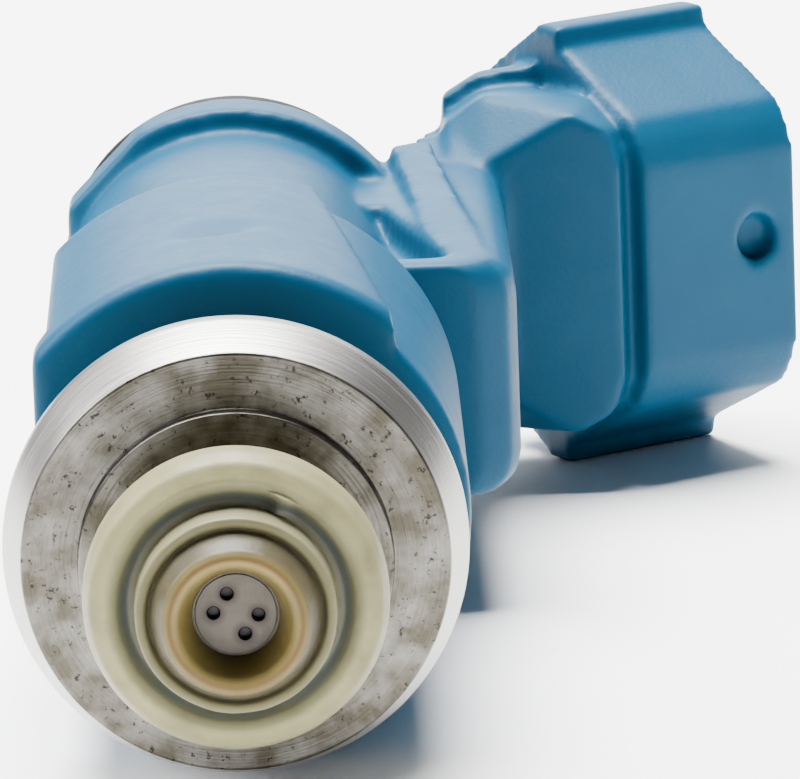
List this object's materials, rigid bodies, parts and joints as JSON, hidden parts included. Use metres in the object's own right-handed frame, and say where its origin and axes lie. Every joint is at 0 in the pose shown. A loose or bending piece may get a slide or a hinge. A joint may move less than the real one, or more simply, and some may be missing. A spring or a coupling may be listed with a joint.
{
  "type": "fuel injector",
  "caption": "Top-feed solenoid fuel injector: overmoulded body with a side connector, steel flange, recessed spray nozzle and a sprung needle that lifts off its seat.",
  "frame": {"origin": "centre of the orifice plate's outer face, on the injector's axis", "axes": "+Y along the injector's axis from the nozzle to the fuel inlet, +X towards the electrical connector, Z across the connector's width"},
  "size_m": [0.0315, 0.0686, 0.0187],
  "materials": {
    "sky_blue_plastic": "satin glass-filled nylon",
    "cream_plastic": "satin, slightly stained",
    "machined_steel": "turned, stained by use",
    "bright_steel": "fine ground",
    "plate_steel": "heat-tinted",
    "magnetic_steel": "satin nickel",
    "terminal_tin": "tin plated",
    "natural_plastic": "natural nylon",
    "copper_wire": "enamelled copper wire",
    "black_rubber": "satin"
  },
  "bodies": {
    "injector_body": {"overmould_body": "sky_blue_plastic", "valve_body": "machined_steel", "nozzle_cap": "cream_plastic", "orifice_plate": "plate_steel", "valve_seat": "bright_steel", "guide_disc": "bright_steel", "return_spring": "bright_steel", "adjusting_sleeve": "bright_steel", "nonmagnetic_ring": "bright_steel", "fixed_core": "magnetic_steel", "magnetic_shell": "magnetic_steel", "yoke_washer": "magnetic_steel", "coil_bobbin": "natural_plastic", "coil_winding": "copper_wire", "bobbin_seal_lower": "black_rubber", "bobbin_seal_upper": "black_rubber", "terminal_lower": "terminal_tin", "terminal_upper": "terminal_tin", "inlet_tube": "bright_steel", "backup_ring": "natural_plastic", "upper_o_ring": "black_rubber", "filter_frame": "natural_plastic", "filter_mesh": "magnetic_steel"},
    "valve_group": {"needle": "bright_steel", "armature": "magnetic_steel", "valve_ball": "bright_steel"}
  },
  "joints": [
    {"name": "needle_lift", "type": "slide", "parent": "injector_body", "child": "valve_group", "axis": [0, 1, 0], "range_m": [0, 0.0001], "stiffness_N_per_m": 50, "springref_m": -0.002, "deforming": ["return_spring"]}
  ]
}
